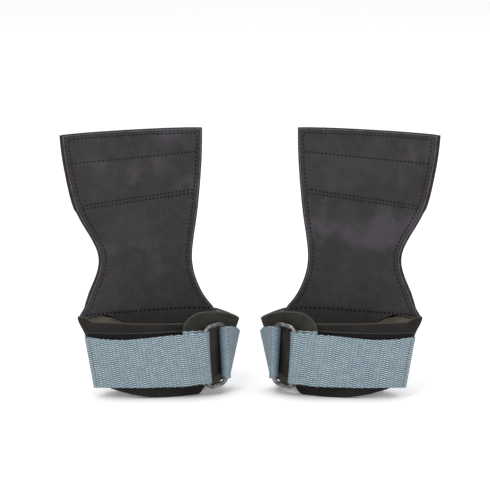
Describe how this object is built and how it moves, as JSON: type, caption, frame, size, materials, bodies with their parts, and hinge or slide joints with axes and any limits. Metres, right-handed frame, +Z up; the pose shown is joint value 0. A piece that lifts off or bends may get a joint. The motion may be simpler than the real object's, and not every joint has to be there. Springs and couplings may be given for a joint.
{
  "type": "hand grips",
  "caption": "Mirrored pair of leather palm grips, each with an hourglass flap on a padded wrist cuff that closes with a webbing strap through a wire ring.",
  "frame": {"origin": "centre of the pair's footprint, on the surface that the cuffs stand on", "axes": "+X along the pair, from the left grip to the right one; +Y away from the strap side; +Z up, towards the flaps' free ends"},
  "size_m": [0.2918, 0.0524, 0.2026],
  "materials": {
    "palm_leather": "matte",
    "backing_leather": "matte",
    "insert_leather": "matte",
    "lining_leather": "satin",
    "foam": "matte",
    "cuff_cover": "matte",
    "loop_pile": "matte",
    "webbing": "matte",
    "hook_tape": "matte",
    "ring_steel": "satin"
  },
  "bodies": {
    "left_cuff": {"left_wrist_lining": "lining_leather", "left_wrist_padding": "foam", "left_wrist_shell": "cuff_cover", "left_loop_panel": "loop_pile", "left_heel_face": "palm_leather", "left_heel_backing": "backing_leather", "left_anchor_strap": "webbing", "left_backing_tail": "backing_leather"},
    "left_tab": {"left_tab_lining": "lining_leather", "left_tab_padding": "foam", "left_tab_shell": "cuff_cover", "left_ring_keeper": "webbing"},
    "left_ring": {"left_buckle_ring": "ring_steel"},
    "left_strap": {"left_wrist_strap": "webbing", "left_hook_patch": "hook_tape"},
    "left_palm": {"left_palm_face": "palm_leather", "left_palm_backing": "backing_leather"},
    "left_bar": {"left_bar_face": "palm_leather", "left_bar_insert": "insert_leather", "left_bar_backing": "backing_leather"},
    "right_cuff": {"right_wrist_lining": "lining_leather", "right_wrist_padding": "foam", "right_wrist_shell": "cuff_cover", "right_loop_panel": "loop_pile", "right_heel_face": "palm_leather", "right_heel_backing": "backing_leather", "right_anchor_strap": "webbing", "right_backing_tail": "backing_leather"},
    "right_tab": {"right_tab_lining": "lining_leather", "right_tab_padding": "foam", "right_tab_shell": "cuff_cover", "right_ring_keeper": "webbing"},
    "right_ring": {"right_buckle_ring": "ring_steel"},
    "right_strap": {"right_wrist_strap": "webbing", "right_hook_patch": "hook_tape"},
    "right_palm": {"right_palm_face": "palm_leather", "right_palm_backing": "backing_leather"},
    "right_bar": {"right_bar_face": "palm_leather", "right_bar_insert": "insert_leather", "right_bar_backing": "backing_leather"}
  },
  "joints": [
    {"name": "left_tab_flex", "type": "hinge", "parent": "left_cuff", "child": "left_tab", "pos_m": [-0.01792, 0.01444, 0], "axis": [0.2021, 0.0579, 0.9777], "range_deg": [0, 40], "stiffness_Nm_per_rad": 0.08},
    {"name": "left_ring_swing", "type": "hinge", "parent": "left_tab", "child": "left_ring", "pos_m": [-0.01797, -0.0037, 0.011], "axis": [-0.0531, -0.0634, 0.9966], "range_deg": [0, 90]},
    {"name": "left_strap_peel", "type": "hinge", "parent": "left_ring", "child": "left_strap", "pos_m": [-0.0322, -0.01627, 0.011], "axis": [-0.0531, -0.0634, 0.9966], "range_deg": [0, 110]},
    {"name": "left_wrist_fold", "type": "hinge", "parent": "left_cuff", "child": "left_palm", "pos_m": [-0.081, 0.00915, 0.073], "axis": [0.9613, 0.2756, 0], "range_deg": [-75, 75], "stiffness_Nm_per_rad": 0.25},
    {"name": "left_bar_fold", "type": "hinge", "parent": "left_palm", "child": "left_bar", "pos_m": [-0.08411, 0.00909, 0.1465], "axis": [0.9576, 0.2746, 0.0872], "range_deg": [-90, 45], "stiffness_Nm_per_rad": 0.2},
    {"name": "right_tab_flex", "type": "hinge", "parent": "right_cuff", "child": "right_tab", "pos_m": [0.01792, 0.01444, 0], "axis": [0.2021, -0.0579, -0.9777], "range_deg": [0, 40], "stiffness_Nm_per_rad": 0.08},
    {"name": "right_ring_swing", "type": "hinge", "parent": "right_tab", "child": "right_ring", "pos_m": [0.01797, -0.0037, 0.011], "axis": [-0.0531, 0.0634, -0.9966], "range_deg": [0, 90]},
    {"name": "right_strap_peel", "type": "hinge", "parent": "right_ring", "child": "right_strap", "pos_m": [0.0322, -0.01627, 0.011], "axis": [-0.0531, 0.0634, -0.9966], "range_deg": [0, 110]},
    {"name": "right_wrist_fold", "type": "hinge", "parent": "right_cuff", "child": "right_palm", "pos_m": [0.081, 0.00915, 0.073], "axis": [0.9613, -0.2756, 0], "range_deg": [-75, 75], "stiffness_Nm_per_rad": 0.25},
    {"name": "right_bar_fold", "type": "hinge", "parent": "right_palm", "child": "right_bar", "pos_m": [0.08411, 0.00909, 0.1465], "axis": [0.9576, -0.2746, -0.0872], "range_deg": [-90, 45], "stiffness_Nm_per_rad": 0.2},
    {"name": "grips_apart", "type": "slide", "parent": "left_cuff", "child": "right_cuff", "axis": [1, 0, 0], "range_m": [0, 0.15]}
  ]
}
